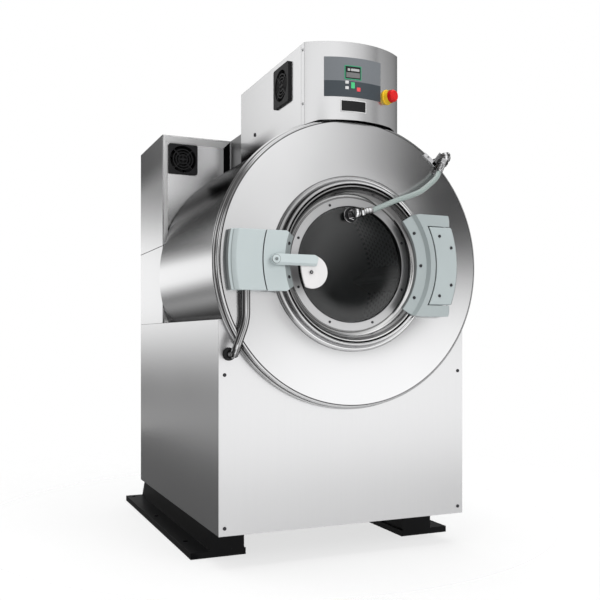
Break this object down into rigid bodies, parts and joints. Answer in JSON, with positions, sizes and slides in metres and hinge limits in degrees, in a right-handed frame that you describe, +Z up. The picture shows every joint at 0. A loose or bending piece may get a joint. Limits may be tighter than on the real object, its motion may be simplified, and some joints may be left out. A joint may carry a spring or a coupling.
{
  "type": "washer-extractor",
  "caption": "Floor-anchored washer-extractor: round glass door on a side hinge, turned tub shell, sheet-metal cabinet on two black rails, and a control box on top.",
  "frame": {"origin": "on the floor, midway between the two middle anchor holes, which is the middle of the rectangle of the four outer ones", "axes": "+Z up, -Y towards the front where the door is, +X to the right as one faces the door"},
  "size_m": [1, 1.351, 1.701],
  "materials": {
    "brushed_panel": "brushed stainless sheet",
    "polished_steel": "polished stainless trim and chrome fittings",
    "black_paint": "satin black paint",
    "frame_paint": "grey frame paint",
    "casting_paint": "smooth pale grey-green paint",
    "lever_paint": "smooth pale grey-green paint",
    "paddle_plastic": "smooth white plastic",
    "dark_glass": "toughened glass before a dark drum",
    "black_rubber": "moulded rubber",
    "grille_plastic": "black moulded plastic",
    "hose_plastic": "pale green-grey braided hose",
    "keypad_film": "grey membrane film",
    "display_glass": "dark display window with a green edge",
    "plate_enamel": "bare black plate with a pale edge",
    "key_white": "white membrane key",
    "key_green": "green membrane key",
    "key_red": "red membrane key",
    "stop_yellow": "yellow moulded plastic",
    "stop_red": "red moulded plastic",
    "screw_steel": "plated screws",
    "basket_steel": "stainless basket",
    "cast_iron": "machined cast iron",
    "motor_paint": "blue-grey motor paint",
    "valve_plastic": "blue valve bodies",
    "drain_plastic": "dark drain valve"
  },
  "bodies": {
    "cabinet": {"rail_left": "black_paint", "rail_right": "black_paint", "base_frame": "frame_paint", "front_panel": "brushed_panel", "side_panel_left": "brushed_panel", "side_panel_right": "brushed_panel", "back_panel": "brushed_panel", "rear_wrap": "brushed_panel", "rear_hood": "brushed_panel", "service_cover": "brushed_panel", "box_front_left": "brushed_panel", "box_front_right": "brushed_panel", "centre_housing": "brushed_panel", "shell": "brushed_panel", "rim_ring": "polished_steel", "front_plate": "brushed_panel", "door_trim_ring": "polished_steel", "door_seal": "black_rubber", "hinge_block": "casting_paint", "hinge_pin": "polished_steel", "lock_housing": "casting_paint", "lock_conduit": "polished_steel", "conduit_boot": "black_rubber", "water_pipe": "polished_steel", "spray_hose": "hose_plastic", "control_box": "brushed_panel", "control_front": "brushed_panel", "keypad_panel": "keypad_film", "display_window": "display_glass", "name_plate": "plate_enamel", "stop_base": "stop_yellow", "fan_guards": "grille_plastic", "fan_frames": "grille_plastic", "bearing_housing": "cast_iron", "motor": "motor_paint", "drive_belts": "black_rubber", "inlet_valves": "valve_plastic", "drain_valve": "drain_plastic", "panel_screws": "screw_steel"},
    "door": {"door_frame": "polished_steel", "door_glass": "dark_glass", "retaining_ring": "brushed_panel", "door_screws": "screw_steel", "hinge_arm": "casting_paint", "latch_ear": "casting_paint", "spray_nozzle": "polished_steel"},
    "handle": {"handle_lever": "lever_paint", "handle_paddle": "paddle_plastic"},
    "drum": {"basket": "basket_steel", "drum_shaft": "cast_iron", "drum_pulley": "cast_iron"},
    "motor_rotor": {"motor_pulley": "cast_iron"},
    "box_fan": {"box_fan_rotor": "grille_plastic"},
    "control_fan": {"control_fan_rotor": "grille_plastic"},
    "stop_slider": {"stop_plunger": "screw_steel"},
    "stop_knob": {"stop_head": "stop_red"},
    "up_key": {"key_up": "key_white"},
    "down_key": {"key_down": "key_white"},
    "start_key": {"key_start": "key_green"},
    "stop_key": {"key_stop": "key_red"}
  },
  "joints": [
    {"name": "door_swing", "type": "hinge", "parent": "cabinet", "child": "door", "pos_m": [0.332, -0.842, 0.983], "axis": [0, 0, 1], "range_deg": [0, 110], "deforming": ["spray_hose"]},
    {"name": "handle_turn", "type": "hinge", "parent": "door", "child": "handle", "pos_m": [-0.303, -0.863, 0.983], "axis": [0, -1, 0], "range_deg": [0, 40]},
    {"name": "drum_spin", "type": "hinge", "parent": "cabinet", "child": "drum", "pos_m": [0, 0.124, 0.983], "axis": [0, 1, 0], "continuous": true},
    {"name": "motor_spin", "type": "hinge", "parent": "cabinet", "child": "motor_rotor", "pos_m": [0, 0.269, 0.405], "axis": [0, 1, 0], "continuous": true},
    {"name": "box_fan_spin", "type": "hinge", "parent": "cabinet", "child": "box_fan", "pos_m": [-0.3687, 0.003, 1.459], "axis": [0, -1, 0], "continuous": true},
    {"name": "control_fan_spin", "type": "hinge", "parent": "cabinet", "child": "control_fan", "pos_m": [-0.152, -0.618, 1.609], "axis": [-1, 0, 0], "continuous": true},
    {"name": "stop_push", "type": "slide", "parent": "cabinet", "child": "stop_slider", "axis": [-0.3936, 0.9193, 0], "range_m": [0, 0.005], "stiffness_N_per_m": 800},
    {"name": "stop_twist", "type": "hinge", "parent": "stop_slider", "child": "stop_knob", "pos_m": [0.111, -0.83832, 1.543], "axis": [-0.3936, 0.9193, 0], "range_deg": [0, 45], "stiffness_Nm_per_rad": 0.05},
    {"name": "key_up_press", "type": "slide", "parent": "cabinet", "child": "up_key", "axis": [0.1667, 0.986, 0], "range_m": [0, 0.0007], "stiffness_N_per_m": 300},
    {"name": "key_down_press", "type": "slide", "parent": "cabinet", "child": "down_key", "axis": [0.1667, 0.986, 0], "range_m": [0, 0.0007], "stiffness_N_per_m": 300},
    {"name": "key_start_press", "type": "slide", "parent": "cabinet", "child": "start_key", "axis": [0.0957, 0.9954, 0], "range_m": [0, 0.0007], "stiffness_N_per_m": 300},
    {"name": "key_stop_press", "type": "slide", "parent": "cabinet", "child": "stop_key", "axis": [0.0248, 0.9997, 0], "range_m": [0, 0.0007], "stiffness_N_per_m": 300}
  ],
  "couplings": [
    {"joint": "motor_spin", "follows": "drum_spin", "ratio": 3.8333}
  ]
}
